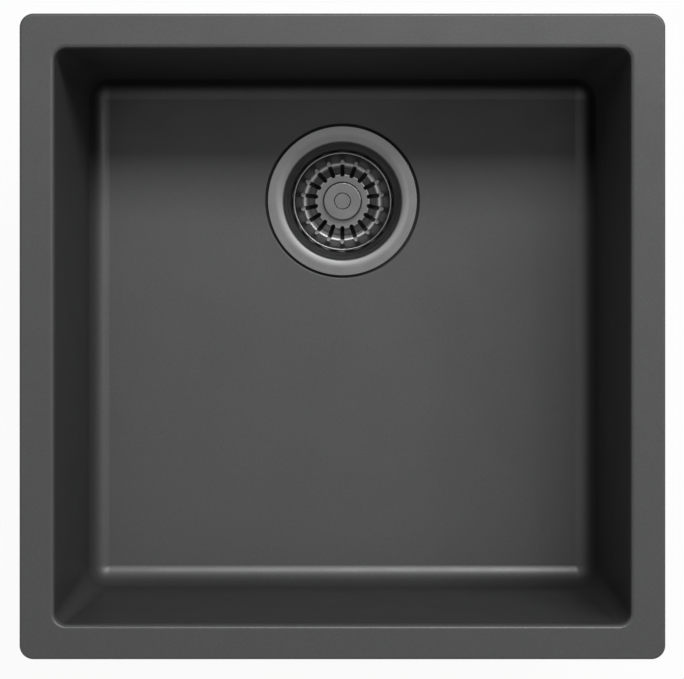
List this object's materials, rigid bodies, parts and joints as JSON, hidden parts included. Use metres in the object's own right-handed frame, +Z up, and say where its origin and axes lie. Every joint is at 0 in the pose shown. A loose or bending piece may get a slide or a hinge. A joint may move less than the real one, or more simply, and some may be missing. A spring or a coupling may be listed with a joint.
{
  "type": "kitchen sink",
  "caption": "Square inset kitchen sink of dark composite with a flat rim, a flat-floored bowl, a lift-out basket-strainer waste near the back and swivel clips under the rim.",
  "frame": {"origin": "centre of the rim's underside, where it rests on the worktop", "axes": "+Z up, +Y to the back of the sink where the waste is, +X to the right seen from the front"},
  "size_m": [0.44, 0.44, 0.288],
  "materials": {
    "composite": "matt moulded granite composite, fine grained",
    "foam": "closed-cell foam strip",
    "rubber": "matt black rubber",
    "gunmetal": "satin gunmetal coated steel",
    "steel": "plain stainless steel, turned",
    "zinc_steel": "zinc plated pressed and turned steel",
    "black_plastic": "moulded black polypropylene",
    "nylon": "natural nylon",
    "brass": "turned brass"
  },
  "bodies": {
    "sink": {"sink_bowl": "composite", "rim_seal": "foam", "wall_inserts": "nylon", "clip_brackets": "zinc_steel", "bracket_screws": "zinc_steel", "waste_flange": "gunmetal", "flange_seal": "rubber", "body_seal": "rubber", "waste_body": "black_plastic", "clamp_nut": "brass", "clamp_screw": "steel"},
    "basket_foot": {"snap_foot": "nylon", "foot_ring": "rubber"},
    "basket": {"strainer_basket": "gunmetal", "basket_knob": "gunmetal", "knob_cap": "gunmetal", "basket_stem": "steel", "stopper_seal": "rubber", "stem_washer": "steel", "stem_nut": "steel"},
    "clip_1_screw": {"clip_1_screw": "zinc_steel"},
    "clip_1_jaw": {"clip_1_jaw": "zinc_steel"},
    "clip_2_screw": {"clip_2_screw": "zinc_steel"},
    "clip_2_jaw": {"clip_2_jaw": "zinc_steel"},
    "clip_3_screw": {"clip_3_screw": "zinc_steel"},
    "clip_3_jaw": {"clip_3_jaw": "zinc_steel"},
    "clip_4_screw": {"clip_4_screw": "zinc_steel"},
    "clip_4_jaw": {"clip_4_jaw": "zinc_steel"},
    "clip_5_screw": {"clip_5_screw": "zinc_steel"},
    "clip_5_jaw": {"clip_5_jaw": "zinc_steel"},
    "clip_6_screw": {"clip_6_screw": "zinc_steel"},
    "clip_6_jaw": {"clip_6_jaw": "zinc_steel"},
    "clip_7_screw": {"clip_7_screw": "zinc_steel"},
    "clip_7_jaw": {"clip_7_jaw": "zinc_steel"},
    "clip_8_screw": {"clip_8_screw": "zinc_steel"},
    "clip_8_jaw": {"clip_8_jaw": "zinc_steel"}
  },
  "joints": [
    {"name": "basket_lift", "type": "slide", "parent": "sink", "child": "basket_foot", "axis": [0, 0, 1], "range_m": [0, 0.25]},
    {"name": "basket_turn", "type": "hinge", "parent": "basket_foot", "child": "basket", "pos_m": [0, 0.0975, -0.223], "axis": [0, 0, 1], "continuous": true},
    {"name": "clip_1_rise", "type": "slide", "parent": "sink", "child": "clip_1_screw", "axis": [0, 0, 1], "range_m": [0, 0.022]},
    {"name": "clip_1_swing", "type": "hinge", "parent": "clip_1_screw", "child": "clip_1_jaw", "pos_m": [0.2133, -0.12, -0.0475], "axis": [0, 0, 1], "range_deg": [0, 90]},
    {"name": "clip_2_rise", "type": "slide", "parent": "sink", "child": "clip_2_screw", "axis": [0, 0, 1], "range_m": [0, 0.022]},
    {"name": "clip_2_swing", "type": "hinge", "parent": "clip_2_screw", "child": "clip_2_jaw", "pos_m": [0.2133, 0.12, -0.0475], "axis": [0, 0, 1], "range_deg": [0, 90]},
    {"name": "clip_3_rise", "type": "slide", "parent": "sink", "child": "clip_3_screw", "axis": [0, 0, 1], "range_m": [0, 0.022]},
    {"name": "clip_3_swing", "type": "hinge", "parent": "clip_3_screw", "child": "clip_3_jaw", "pos_m": [0.12, 0.2133, -0.0475], "axis": [0, 0, 1], "range_deg": [0, 90]},
    {"name": "clip_4_rise", "type": "slide", "parent": "sink", "child": "clip_4_screw", "axis": [0, 0, 1], "range_m": [0, 0.022]},
    {"name": "clip_4_swing", "type": "hinge", "parent": "clip_4_screw", "child": "clip_4_jaw", "pos_m": [-0.12, 0.2133, -0.0475], "axis": [0, 0, 1], "range_deg": [0, 90]},
    {"name": "clip_5_rise", "type": "slide", "parent": "sink", "child": "clip_5_screw", "axis": [0, 0, 1], "range_m": [0, 0.022]},
    {"name": "clip_5_swing", "type": "hinge", "parent": "clip_5_screw", "child": "clip_5_jaw", "pos_m": [-0.2133, 0.12, -0.0475], "axis": [0, 0, 1], "range_deg": [0, 90]},
    {"name": "clip_6_rise", "type": "slide", "parent": "sink", "child": "clip_6_screw", "axis": [0, 0, 1], "range_m": [0, 0.022]},
    {"name": "clip_6_swing", "type": "hinge", "parent": "clip_6_screw", "child": "clip_6_jaw", "pos_m": [-0.2133, -0.12, -0.0475], "axis": [0, 0, 1], "range_deg": [0, 90]},
    {"name": "clip_7_rise", "type": "slide", "parent": "sink", "child": "clip_7_screw", "axis": [0, 0, 1], "range_m": [0, 0.022]},
    {"name": "clip_7_swing", "type": "hinge", "parent": "clip_7_screw", "child": "clip_7_jaw", "pos_m": [-0.12, -0.2133, -0.0475], "axis": [0, 0, 1], "range_deg": [0, 90]},
    {"name": "clip_8_rise", "type": "slide", "parent": "sink", "child": "clip_8_screw", "axis": [0, 0, 1], "range_m": [0, 0.022]},
    {"name": "clip_8_swing", "type": "hinge", "parent": "clip_8_screw", "child": "clip_8_jaw", "pos_m": [0.12, -0.2133, -0.0475], "axis": [0, 0, 1], "range_deg": [0, 90]}
  ]
}
